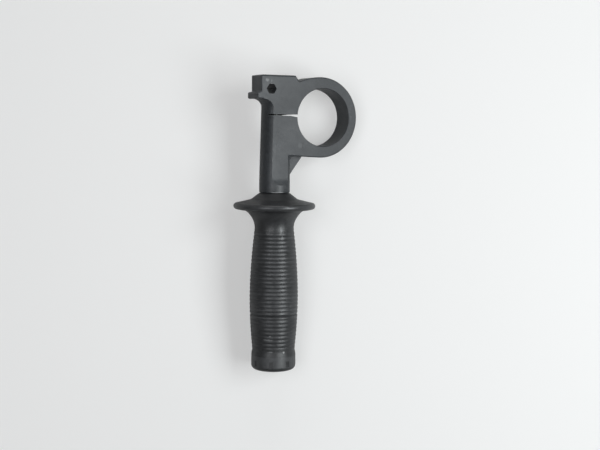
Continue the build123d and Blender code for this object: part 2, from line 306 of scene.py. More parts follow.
class Turning:
    """Geometry Nodes tree that turns a half outline round an upright axis, with flats and ridges."""

    @cached_property
    def tree(self) -> Tree:
        """Builds the tree on its first use.

        Returns:
            The tree, whose grid has a row for each point of the outline and wraps round the axis.
        """
        graph = Graph.group("TurnedForm", "GeometryNodeTree", {
            "Outline": (GEOMETRY, None), "Segments": (WHOLE, 96), "Axis X": (NUMBER, 0.0),
            "Ridge Pitch": (NUMBER, 1.0), "Ridge Depth": (NUMBER, 0.0), "Ridge Origin": (NUMBER, 0.0),
            "Ridge Lead": (NUMBER, 0.0), "Ridge Power": (NUMBER, 1.0), "Across Flats": (NUMBER, 1.0),
            "Flats Turn": (NUMBER, 0.0), "Material": (MATERIAL, None)}, {"Geometry": GEOMETRY})
        given = graph.given
        size = graph.add("GeometryNodeAttributeDomainSize", {"Geometry": given["Outline"]})
        columns = graph.math("ADD", given["Segments"], 1)
        grid = graph.out("GeometryNodeMeshGrid", {"Vertices X": size.outputs["Point Count"],
                                                  "Vertices Y": columns})
        index = graph.out("GeometryNodeInputIndex")
        row = graph.math("FLOOR", graph.math("DIVIDE", graph.math("ADD", index, 0.5), columns))
        column = graph.math("SUBTRACT", index, graph.math("MULTIPLY", row, columns))
        turn = graph.math("DIVIDE", column, given["Segments"])

        place = self._along(graph, row, "FLOAT_VECTOR", graph.out("GeometryNodeInputPosition"))
        place = graph.add("ShaderNodeSeparateXYZ", {0: place}).outputs
        height = place[2]
        wave = self._wave(graph, turn, height)
        ridged = self._stored(graph, row, "ridged")
        cut = graph.math("MULTIPLY", graph.math("MULTIPLY", wave, ridged), given["Ridge Depth"])
        faceted = self._stored(graph, row, "faceted")
        radius = graph.math("SUBTRACT", self._flattened(graph, turn, place[0], faceted), cut)

        angle = graph.math("MULTIPLY", turn, math.tau)
        position = graph.combine(
            graph.math("MULTIPLY_ADD", radius, graph.math("COSINE", angle), given["Axis X"]),
            graph.math("MULTIPLY", radius, graph.math("SINE", angle)), height)
        crest = graph.math("MULTIPLY", graph.math("SUBTRACT", 1.0, wave), graph.math("MINIMUM", ridged, 1.0))
        marked = graph.out("GeometryNodeStoreNamedAttribute", {
            "Geometry": grid, "Name": "crest", "Value": crest}, data_type="FLOAT", domain="POINT")
        placed = graph.out("GeometryNodeSetPosition", {"Geometry": marked, "Position": position})
        return graph.close(graph.out("GeometryNodeMergeByDistance", {"Geometry": placed,
                                                                     "Distance": MERGE_REACH}))

    def _along(self, graph: Graph, row: Socket, kind: str, value: Socket) -> Socket:
        """Returns a value of the outline's own point for this row."""
        return graph.out("GeometryNodeSampleIndex", {"Geometry": graph.given["Outline"], "Value": value,
                                                     "Index": row}, data_type=kind, domain="POINT")

    def _stored(self, graph: Graph, row: Socket, name: str) -> Socket:
        """Returns a named number of the outline's own point for this row."""
        named = graph.out("GeometryNodeInputNamedAttribute", {"Name": name}, data_type="FLOAT")
        return self._along(graph, row, "FLOAT", named)

    def _flattened(self, graph: Graph, turn: Socket, radius: Socket, faceted: Socket) -> Socket:
        """Cuts the flats of a hexagon.

        Args:
            graph: The tree's graph.
            turn: The place round the axis, from 0 to 1.
            radius: The turned radius.
            faceted: 1 where the flats cut it.

        Returns:
            The radius, cut back to the flats.
        """
        given = graph.given
        sector = graph.math("FRACT", graph.math("MULTIPLY", graph.math(
            "SUBTRACT", turn, given["Flats Turn"]), 6.0))
        from_flat = graph.math("MULTIPLY", graph.math("SUBTRACT", sector, 0.5), math.pi / 3)
        flat_radius = graph.math("DIVIDE", graph.math("MULTIPLY", given["Across Flats"], 0.5),
                                 graph.math("COSINE", from_flat))
        spare = graph.math("SUBTRACT", graph.math("MINIMUM", radius, flat_radius), radius)
        return graph.math("MULTIPLY_ADD", spare, faceted, radius)

    def _wave(self, graph: Graph, turn: Socket, height: Socket) -> Socket:
        """Shapes the grooves between the ridges.

        Args:
            graph: The tree's graph.
            turn: The place round the axis, from 0 to 1.
            height: The place along it.

        Returns:
            1 in the middle of a groove and 0 on a crest.
        """
        given = graph.given
        phase = graph.math("DIVIDE", graph.math("SUBTRACT", given["Ridge Origin"], height),
                           given["Ridge Pitch"])
        phase = graph.math("FRACT", graph.math("MULTIPLY_ADD", given["Ridge Lead"], turn, phase))
        wave = graph.math("ABSOLUTE", graph.math("MULTIPLY_ADD", phase, 2.0, -1.0))
        return graph.math("POWER", wave, given["Ridge Power"])


class Notching:
    """Geometry Nodes tree that cuts a ring of shallow box notches into the outside of a turned piece."""

    @cached_property
    def tree(self) -> Tree:
        """Builds the tree on its first use.

        Returns:
            The tree.
        """
        graph = Graph.group("NotchRing", "GeometryNodeTree", {
            "Geometry": (GEOMETRY, None), "Count": (WHOLE, 8), "Axis X": (NUMBER, 0.0),
            "Radius": (NUMBER, 1.0), "Middle": (NUMBER, 0.0), "Width": (NUMBER, 1.0),
            "Height": (NUMBER, 1.0), "Depth": (NUMBER, 1.0), "Turn": (NUMBER, 0.0),
            "Material": (MATERIAL, None)}, {"Geometry": GEOMETRY})
        given = graph.given
        circle = graph.out("GeometryNodeMeshCircle", {"Vertices": given["Count"], "Radius": given["Radius"]})
        cutter = graph.out("GeometryNodeMeshCube", {"Size": graph.combine(
            graph.math("MULTIPLY", given["Depth"], 2.0), given["Width"], given["Height"])})
        index = graph.out("GeometryNodeInputIndex")
        facing = graph.math("DIVIDE", graph.math("MULTIPLY", index, math.tau), given["Count"])
        cutters = graph.out("GeometryNodeInstanceOnPoints", {
            "Points": circle, "Instance": cutter, "Rotation": graph.combine(z=facing)})
        real = graph.out("GeometryNodeRealizeInstances", {"Geometry": cutters})
        moved = graph.out("GeometryNodeTransform", {
            "Geometry": real, "Translation": graph.combine(given["Axis X"], z=given["Middle"]),
            "Rotation": graph.combine(z=given["Turn"])})
        return graph.close(graph.out("GeometryNodeMeshBoolean", {
            "Mesh 1": given["Geometry"], "Mesh 2": moved}, operation="DIFFERENCE", solver="EXACT"))


turning = Turning()
notching = Notching()


def outline_object(name: str, rows: Sequence[Row]) -> Object:
    """Makes an edge chain in the XZ plane from the rows of a half outline.

    Args:
        name: The object's name.
        rows: The outline's points, in order.

    Returns:
        The object, with the rows' other numbers as attributes of its points.
    """
    mesh = bpy.data.meshes.new(name)
    mesh.from_pydata([(row.radius, 0.0, row.height) for row in rows],
                     [(index, index + 1) for index in range(len(rows) - 1)], [])
    for label in ("ridged", "faceted"):
        values = mesh.attributes.new(label, "FLOAT", "POINT").data
        values.foreach_set("value", [getattr(row, label) for row in rows])
    obj = bpy.data.objects.new(name, mesh)
    bpy.context.scene.collection.objects.link(obj)
    return obj


def make_real(obj: Object) -> None:
    """Turns an object's modifiers into a plain mesh of its own.

    Args:
        obj: The object, which has no modifier afterwards.
    """
    graph = bpy.context.evaluated_depsgraph_get()
    mesh = bpy.data.meshes.new_from_object(obj.evaluated_get(graph))
    obj.modifiers.clear()
    obj.data = mesh


def use_tree(obj: Object, tree: Tree, values: dict[str, Value]) -> None:
    """Gives an object a Geometry Nodes modifier with its inputs set by name.

    Args:
        obj: The object.
        tree: The Geometry Nodes tree.
        values: The tree's inputs, by name.
    """
    modifier = obj.modifiers.new(tree.name, "NODES")
    modifier.node_group = tree
    for item in tree.interface.items_tree:
        if item.in_out == "INPUT" and item.name in values:
            modifier[item.identifier] = values[item.name]


def spread(start: float, end: float, steps: int) -> list[float]:
    """Returns evenly spread numbers from the start to the end, with both."""
    return [start + (end - start) * step / steps for step in range(steps + 1)]


def arc(centre: Point, radius: float, start: float, end: float, steps: int) -> list[Point]:
    """Returns points on an arc, as radius and height, between two angles in degrees."""
    angles = [math.radians(angle) for angle in spread(start, end, steps)]
    return [(centre[0] + radius * math.cos(angle), centre[1] + radius * math.sin(angle)) for angle in angles]


def hermite(start: Vector, end: Vector, leaving: Vector, arriving: Vector, steps: int) -> list[Point]:
    """Makes a smooth curve between two points.

    Args:
        start: The first point.
        end: The last point.
        leaving: The curve's tangent at the first point.
        arriving: Its tangent at the last point.
        steps: How many straight pieces it has.

    Returns:
        The curve's points.
    """
    points = []
    for t in spread(0.0, 1.0, steps):
        square, cube = t * t, t * t * t
        point = (start * (2 * cube - 3 * square + 1) + leaving * (cube - 2 * square + t)
                 + end * (3 * square - 2 * cube) + arriving * (cube - square))
        points.append((point.x, point.y))
    return points


def across_corners(flats: float) -> float:
    """Returns the radius to the corners of a hexagon of this size across its flats."""
    return flats / 2 / math.cos(math.radians(30))


def opaque(colour: Iterable[float]) -> list[float]:
    """Returns a colour with full alpha."""
    return [*colour, 1.0]


def new_material(name: str) -> tuple[Material, Graph, bpy.types.Node]:
    """Makes a material that is still plain.

    Args:
        name: The material's name.

    Returns:
        The material, its graph and its shader node.
    """
    material = bpy.data.materials.new(name)
    material.use_nodes = True
    graph = Graph(material.node_tree)
    return material, graph, graph.tree.nodes["Principled BSDF"]


@dataclass
class Effects:
    """Shader node groups for the wear and the grain of the finishes.

    Attributes:
        coarse_scale: The coarse grain's scale, as a share of the fine grain's.
        fine_share: How much of the grain's height is the fine grain's.
        speckle: Grain that shows from not at all to fully.
        bend: Bend of an edge that is rubbed from not at all to fully.
        least_edge: Wear that is left between the patches of a rubbed edge.
        bevel_samples: Samples of the search for edges.
        line_width: A scratch's width, in noise.
        field_scale: The scale of scratched fields, as a share of the scratches' own.
        field_fade: How softly such a field begins, in noise.
        mark_fade: Where a local mark fades out, as shares of its reach.
        ragged_scale: How fine a mark's ragged rim is, for each metre.
        band_fade: How softly a handled band begins and ends, in metres.
        least_handled: Wear that is left between the patches of a handled band.
    """

    coarse_scale: float = 0.35
    fine_share: float = 0.6
    speckle: Point = (0.36, 0.66)
    bend: Point = (0.01, 0.16)
    least_edge: float = 0.15
    bevel_samples: int = 6
    line_width: float = 0.022
    field_scale: float = 0.18
    field_fade: float = 0.12
    mark_fade: Point = (0.55, 1.1)
    ragged_scale: float = 900.0
    band_fade: float = 1.0 * MM
    least_handled: float = 0.45

    @cached_property
    def grain(self) -> Tree:
        """Builds the fine moulded grain, with the glass fibres that show in it as a speckle.

        Returns:
            The group, which gives the grain's height and its speckle.
        """
        graph = Graph.group("MouldedGrain", "ShaderNodeTree", {
            "Vector": (VECTOR, None), "Scale": (NUMBER, 1000.0)}, {"Height": NUMBER, "Speckle": NUMBER})
        vector, scale = graph.given["Vector"], graph.given["Scale"]
        coarse = graph.noise(vector, graph.math("MULTIPLY", scale, self.coarse_scale), detail=3.0,
                             roughness=0.6)
        fine = graph.noise(vector, scale, detail=2.0, roughness=0.55)
        height = graph.math("MULTIPLY_ADD", fine, self.fine_share,
                            graph.math("MULTIPLY", coarse, 1.0 - self.fine_share))
        speckle = graph.math("MULTIPLY_ADD", coarse, 0.5, graph.math("MULTIPLY", fine, 0.5))
        return graph.give({"Height": height, "Speckle": graph.step(speckle, *self.speckle)})

    @cached_property
    def edge_wear(self) -> Tree:
        """Builds the wear of edges, broken up by noise.

        Returns:
            The group, which gives a mask.
        """
        graph = Graph.group("EdgeWear", "ShaderNodeTree", {
            "Vector": (VECTOR, None), "Radius": (NUMBER, 0.6 * MM), "Amount": (NUMBER, 1.0)},
            {"Mask": NUMBER})
        rounded = graph.out("ShaderNodeBevel", {"Radius": graph.given["Radius"]},
                            samples=self.bevel_samples)
        plain = graph.add("ShaderNodeNewGeometry").outputs["Normal"]
        bend = graph.math("SUBTRACT", 1.0, graph.vector("DOT_PRODUCT", rounded, plain))
        patch = graph.patches(graph.given["Vector"], BROKEN_EDGES, self.least_edge)
        worn = graph.math("MULTIPLY", graph.step(bend, *self.bend), patch)
        return graph.give({"Mask": graph.math("MULTIPLY", worn, graph.given["Amount"], clamp=True)})

    @cached_property
    def scratches(self) -> Tree:
        """Builds fine scratches that run mostly one way.

        Returns:
            The group, which gives a mask.
        """
        graph = Graph.group("Scratches", "ShaderNodeTree", {
            "Vector": (VECTOR, None), "Squeeze": (VECTOR, (1.0, 1.0, 1.0)), "Scale": (NUMBER, 300.0),
            "Cover": (NUMBER, 0.5)}, {"Mask": NUMBER})
        given = graph.given
        stretched = graph.vector("MULTIPLY", given["Vector"], given["Squeeze"])
        lines = graph.noise(stretched, given["Scale"], detail=3.0, roughness=0.7)
        ridge = graph.math("ABSOLUTE", graph.math("SUBTRACT", lines, 0.5))
        thin = graph.step(ridge, 0.0, self.line_width, 1.0, 0.0)
        where = graph.noise(given["Vector"], graph.math("MULTIPLY", given["Scale"], self.field_scale),
                            detail=2.0, roughness=0.5)
        cover = graph.math("SUBTRACT", 1.0, given["Cover"])
        here = graph.step(where, cover, graph.math("ADD", cover, self.field_fade))
        return graph.give({"Mask": graph.math("MULTIPLY", thin, here)})

    @cached_property
    def mark(self) -> Tree:
        """Builds one local spot, ragged at its rim; it serves for scuff marks and for painted highlights.

        Returns:
            The group, which gives a mask.
        """
        graph = Graph.group("LocalMark", "ShaderNodeTree", {
            "Vector": (VECTOR, None), "Centre": (VECTOR, (0.0, 0.0, 0.0)), "Reach": (VECTOR, (MM, MM, MM)),
            "Strength": (NUMBER, 1.0), "Ragged": (NUMBER, 2.4)}, {"Mask": NUMBER})
        given = graph.given
        offset = graph.vector("SUBTRACT", given["Vector"], given["Centre"])
        distance = graph.vector("LENGTH", graph.vector("DIVIDE", offset, given["Reach"]))
        ragged = graph.noise(given["Vector"], self.ragged_scale, detail=3.0, roughness=0.7)
        distance = graph.math("MULTIPLY_ADD", graph.math("SUBTRACT", ragged, 0.5), given["Ragged"], distance)
        inside = graph.step(distance, *self.mark_fade, 1.0, 0.0)
        return graph.give({"Mask": graph.math("MULTIPLY", inside, given["Strength"])})

    @cached_property
    def band(self) -> Tree:
        """Builds patchy wear on the outermost skin of a turned stretch, which recesses stay out of.

        Returns:
            The group, which gives a mask.
        """
        graph = Graph.group("HandledBand", "ShaderNodeTree", {
            "Vector": (VECTOR, None), "Axis": (VECTOR, (0.0, 0.0, 0.0)), "Skin": (NUMBER, 16.0 * MM),
            "Depth": (NUMBER, 0.2 * MM), "Low": (NUMBER, 0.0), "High": (NUMBER, 10.0 * MM),
            "Strength": (NUMBER, 1.0)}, {"Mask": NUMBER})
        given = graph.given
        offset = graph.vector("SUBTRACT", given["Vector"], given["Axis"])
        radius = graph.vector("LENGTH", graph.vector("MULTIPLY", offset, (1.0, 1.0, 0.0)))
        height = graph.add("ShaderNodeSeparateXYZ", {0: given["Vector"]}).outputs[2]
        outer = graph.step(radius, graph.math("SUBTRACT", given["Skin"], given["Depth"]), given["Skin"])
        above = graph.step(height, given["Low"], graph.math("ADD", given["Low"], self.band_fade))
        below = graph.step(height, graph.math("SUBTRACT", given["High"], self.band_fade), given["High"],
                           1.0, 0.0)
        patchy = graph.math("MULTIPLY", outer, graph.patches(given["Vector"], HANDLED_SKIN,
                                                             self.least_handled))
        mask = graph.math("MULTIPLY", patchy, graph.math("MULTIPLY", above, below))
        return graph.give({"Mask": graph.math("MULTIPLY", mask, given["Strength"])})


effects = Effects()


@dataclass(frozen=True)
class LocalSpot:
    """One local spot: a scuff mark, and on the clamp's collar a painted highlight.

    Attributes:
        centre: Its middle, in millimetres of the part's frame.
        reach: How far it goes each way from there, in millimetres.
        strength: How strong it is.
        ragged: How much its rim wanders.
    """

    centre: Triple
    reach: Triple
    strength: float
    ragged: float = 2.4

    def values(self) -> dict[str, Value]:
        """Gives the inputs of the mark's node group.

        Returns:
            The inputs by name, in metres.
        """
        return {"Centre": [number * MM for number in self.centre],
                "Reach": [number * MM for number in self.reach],
                "Strength": self.strength, "Ragged": self.ragged}


@dataclass(frozen=True)
class Band:
    """A handled stretch of a turned piece.

    Attributes:
        axis_x: The turning axis.
        skin: Radius of the skin that is rubbed.
        low: Height where it begins.
        high: Height where it ends.
        strength: How strong the wear is.
        depth: How far below that skin it fades out.
        polish: How much smoother the worn skin is.
    """

    axis_x: float
    skin: float
    low: float
    high: float
    strength: float
    depth: float = 0.2 * MM
    polish: float = 0.1

    def values(self) -> dict[str, Value]:
        """Returns the inputs of the band's node group."""
        return {"Axis": (self.axis_x, 0.0, 0.0), "Skin": self.skin, "Low": self.low, "High": self.high,
                "Strength": self.strength, "Depth": self.depth}


@dataclass(frozen=True)
class MouldedPlastic:
    """Glass-filled nylon with moulded grain, rubbed edges, scratches, local scuff marks and painted
    highlights.

    Attributes:
        name: The material's name.
        colour: The plastic as moulded, linear.
        worn: The plastic where it is rubbed, linear.
        specular: Its specular level.
        grain_scale: Grains for each metre.
        grain_depth: How far the grain stands up, in metres.
        speckle: How much the grain shows in the colour.
        edge_reach: How far from an edge the wear goes, in metres.
        edge_wear: How strong the edge wear is.
        scratch_cover: How much of the surface has scratches.
        rubs_and_highlights: The local scuff marks, and the painted highlights among them.
        bands: The handled stretches.
        crest_wear: How strong the wear on the ridges' crests is.
        crest_polish: How much smoother those crests are.
        rubbed_crest: Crest that is rubbed from not at all to fully.
        smooth_crest: Crest that is smoother from not at all to fully.
        squeeze: The scratches' squeeze along each axis.
        scratch_wear: How strong the scratches are.
        scuff_and_highlight_colour: The plastic in a fresh scuff, linear, which is also the colour of the
            painted highlights.
        stain: How much the clouds and the blotches each lighten the colour.
        roughness: Its usual roughness.
        cloud_polish: How much smoother it is in the clouds.
        blotch_rough: How much its roughness changes over the blotches.
        speckle_rough: How much rougher the speckles are.
        worn_rough: How much rougher it is where it is worn.
    """

    name: str
    colour: Triple
    worn: Triple
    specular: float
    grain_scale: float
    grain_depth: float
    speckle: float
    edge_reach: float
    edge_wear: float
    scratch_cover: float
    rubs_and_highlights: tuple[LocalSpot, ...]
    bands: tuple[Band, ...] = ()
    crest_wear: float = 0.0
    crest_polish: float = 0.03
    rubbed_crest: Point = (0.7, 1.0)
    smooth_crest: Point = (0.3, 0.9)
    squeeze: Triple = (1.0, 1.0, 0.12)
    scratch_wear: float = 0.5
    scuff_and_highlight_colour: Triple = (0.34, 0.345, 0.345)
    stain: float = 0.1
    roughness: float = 0.42
    cloud_polish: float = 0.06
    blotch_rough: float = 0.07
    speckle_rough: float = 0.1
    worn_rough: float = 0.12

    def build(self) -> Material:
        """Builds the material.

        Returns:
            The material, ready to be given to a mesh.
        """
        material, graph, shader = new_material(self.name)
        vector = graph.add("ShaderNodeTexCoord").outputs["Object"]
        grain = graph.use(effects.grain, {"Vector": vector, "Scale": self.grain_scale})
        worn, shine = self._wear(graph, vector)
        cloud = graph.patches(vector, CLOUDS)
        blotch = graph.patches(vector, BLOTCHES)

        base = graph.mix(grain["Speckle"], self._shade(1.0 - self.speckle), self._shade(1.0 + self.speckle))
        stain = graph.math("MULTIPLY_ADD", blotch, self.stain, graph.math("MULTIPLY", cloud, self.stain))
        stained = graph.mix(stain, base, opaque(self.worn))
        rubbed = graph.mix(worn, stained, opaque(self.worn))
        # The pale scuff colour goes over the scuff marks and, on the clamp's collar, over painted highlights.
        graph.feed(shader.inputs["Base Color"],
                   graph.mix(self._scuff_and_highlight_mask(graph, vector), rubbed, opaque(self.scuff_and_highlight_colour)))

        rough = graph.math("MULTIPLY_ADD", cloud, -self.cloud_polish, self.roughness)
        rough = graph.math("MULTIPLY_ADD", graph.math("SUBTRACT", blotch, 0.5), self.blotch_rough, rough)
        rough = graph.math("SUBTRACT", rough, shine)
        rough = graph.math("MULTIPLY_ADD", grain["Speckle"], self.speckle_rough, rough)
        graph.feed(shader.inputs["Roughness"], graph.math("MULTIPLY_ADD", worn, self.worn_rough, rough))
        shader.inputs["Specular IOR Level"].default_value = self.specular
        graph.feed(shader.inputs["Normal"], graph.bump(grain["Height"], self.grain_depth))
        return material

    def _shade(self, share: float) -> list[float]:
        """Returns the plastic's colour at this share of its lightness."""
        return opaque(channel * share for channel in self.colour)

    def _wear(self, graph: Graph, vector: Socket) -> tuple[Socket, Value]:
        """Finds where edges, scratches, crests and handled stretches are worn.

        Args:
            graph: The material's graph.
            vector: The place on the piece.

        Returns:
            The mask of wear, and how much smoother the wear has made the plastic.
        """
        edges = graph.use(effects.edge_wear, {"Vector": vector, "Radius": self.edge_reach,
                                              "Amount": self.edge_wear})
        lines = graph.use(effects.scratches, {"Vector": vector, "Squeeze": self.squeeze,
                                              "Cover": self.scratch_cover})
        worn = graph.math("MAXIMUM", edges["Mask"], graph.math("MULTIPLY", lines["Mask"], self.scratch_wear))
        shine = 0.0
        if self.crest_wear:
            crest = graph.add("ShaderNodeAttribute", attribute_name="crest").outputs["Fac"]
            rubbed = graph.math("MULTIPLY", graph.step(crest, *self.rubbed_crest),
                                graph.patches(vector, RUBBED_CRESTS))
            worn = graph.math("MAXIMUM", worn, graph.math("MULTIPLY", rubbed, self.crest_wear))
            shine = graph.math("MULTIPLY", graph.step(crest, *self.smooth_crest), self.crest_polish)
        for band in self.bands:
            handled = graph.use(effects.band, {"Vector": vector, **band.values()})["Mask"]
            worn = graph.math("MAXIMUM", worn, handled)
            shine = graph.math("MULTIPLY_ADD", handled, band.polish, shine)
        return worn, shine

    def _scuff_and_highlight_mask(self, graph: Graph, vector: Socket) -> Value:
        """Finds the fresh scuff marks and the painted highlights.

        Args:
            graph: The material's graph.
            vector: The place on the piece.

        Returns:
            The mask of all scuff marks and painted highlights.
        """
        scuff_and_highlight_mask = 0.0
        for spot in self.rubs_and_highlights:
            mark = graph.use(effects.mark, {"Vector": vector, **spot.values()})
            scuff_and_highlight_mask = graph.math("MAXIMUM", scuff_and_highlight_mask, mark["Mask"])
        return scuff_and_highlight_mask


@dataclass(frozen=True)
class PlatedSteel:
    """Zinc-plated steel with turning marks, edges that are rubbed bright and bright, rougher patches.

    Attributes:
        name: The material's name.
        roughness: Its usual roughness.
        squeeze: The squeeze of its turning marks along each axis.
        colour: The plating, linear.
        dull: The plating away from rubbed edges, linear.
        edge_reach: How far from an edge it is rubbed bright, in metres.
        edge_wear: How strong that is.
        bright: How bright the patches are, from dull to the plating's own colour.
        patch_rough: How much rougher the patches are than the rest.
        mark_scale: Turning marks for each metre.
        mark_depth: How deep they are, in metres.
    """

    name: str
    roughness: float = 0.3
    squeeze: Triple = (0.1, 0.1, 1.0)
    colour: Triple = (0.62, 0.62, 0.60)
    dull: Triple = (0.36, 0.36, 0.35)
    edge_reach: float = 0.3 * MM
    edge_wear: float = 0.7
    bright: float = 0.7
    patch_rough: float = 0.16
    mark_scale: float = 2600.0
    mark_depth: float = 0.006 * MM

    def build(self) -> Material:
        """Builds the material.

        Returns:
            The material, ready to be given to a mesh.
        """
        material, graph, shader = new_material(self.name)
        vector = graph.add("ShaderNodeTexCoord").outputs["Object"]
        patch = graph.patches(vector, PATCHY_PLATING)
        edges = graph.use(effects.edge_wear, {"Vector": vector, "Radius": self.edge_reach,
                                              "Amount": self.edge_wear})
        plating = graph.mix(edges["Mask"], opaque(self.dull), opaque(self.colour))
        graph.feed(shader.inputs["Base Color"], graph.mix(
            graph.math("MULTIPLY", patch, self.bright), plating, opaque(self.colour)))
        graph.feed(shader.inputs["Roughness"],
                   graph.math("MULTIPLY_ADD", patch, self.patch_rough, self.roughness))
        shader.inputs["Metallic"].default_value = 1.0
        turned = graph.noise(graph.vector("MULTIPLY", vector, self.squeeze), self.mark_scale, detail=2.0,
                             roughness=0.5)
        graph.feed(shader.inputs["Normal"], graph.bump(turned, self.mark_depth))
        return material


@dataclass
class Assembly:
    """Where the pieces stand, worked out from the frame.

    Attributes:
        axis_x: The handle's axis.
        grip_top: Height of the grip's top face.
        grip_end: Height of its lower end.
        bolt_low: Height of the underside of the bolt's head.
        bolt_tip: Height of the bolt's tip.
    """

    axis_x: float
    grip_top: float
    grip_end: float
    bolt_low: float
    bolt_tip: float

    @classmethod
    def from_frame(cls) -> "Assembly":
        """Reads the places off the frame's nodes.

        Returns:
            The places.
        """
        grip_low, grip_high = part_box("grip")
        bolt_low, bolt_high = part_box("grip_bolt")
        return cls(axis_x=(grip_low[0] + grip_high[0]) / 2, grip_top=grip_high[2], grip_end=grip_low[2],
                   bolt_low=bolt_low[2], bolt_tip=bolt_high[2])


@dataclass
class TurnedPiece:
    """A piece that is turned round the handle's axis.

    Attributes:
        assembly: Where the pieces stand.
        name: The piece's name.
        node: The frame's node that it stands for.
        body: The body that it rides on.
        slot: Its material slot; it is not used.
        segments: Faces round the axis.
        sharp_angle: Edges bent by more than this many degrees stay sharp.
    """

    assembly: Assembly
    name: str = ""
    node: str = ""
    body: Body = Body.HANDLE
    slot: Slot = Slot.STEEL
    segments: int = 96
    sharp_angle: float = 32.0

    def rows(self) -> list[Row]:
        """Returns the half outline."""
        raise NotImplementedError

    def finish(self) -> MouldedPlastic | PlatedSteel:
        """Returns the piece's finish."""
        raise NotImplementedError

    def settings(self) -> dict[str, Value]:
        """Returns the tree's inputs that this piece sets."""
        return {}

    def cut(self, obj: Object, material: Material) -> None:
        """Cuts what isn't turned into the piece; most pieces have nothing of the kind."""

    def build(self) -> Object:
        """Builds the piece, dresses it and ties it to the frame.

        Returns:
            The finished piece.
        """
        obj = outline_object(self.name, self.rows())
        material = self.finish().build()
        use_tree(obj, turning.tree, {"Segments": self.segments, "Axis X": self.assembly.axis_x,
                                     "Material": material, **self.settings()})
        self.cut(obj, material)
        make_real(obj)
        obj.data.shade_smooth()
        obj.data.set_sharp_from_angle(angle=math.radians(self.sharp_angle))
        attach(obj, self.body.value)
        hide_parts(self.node)
        return obj


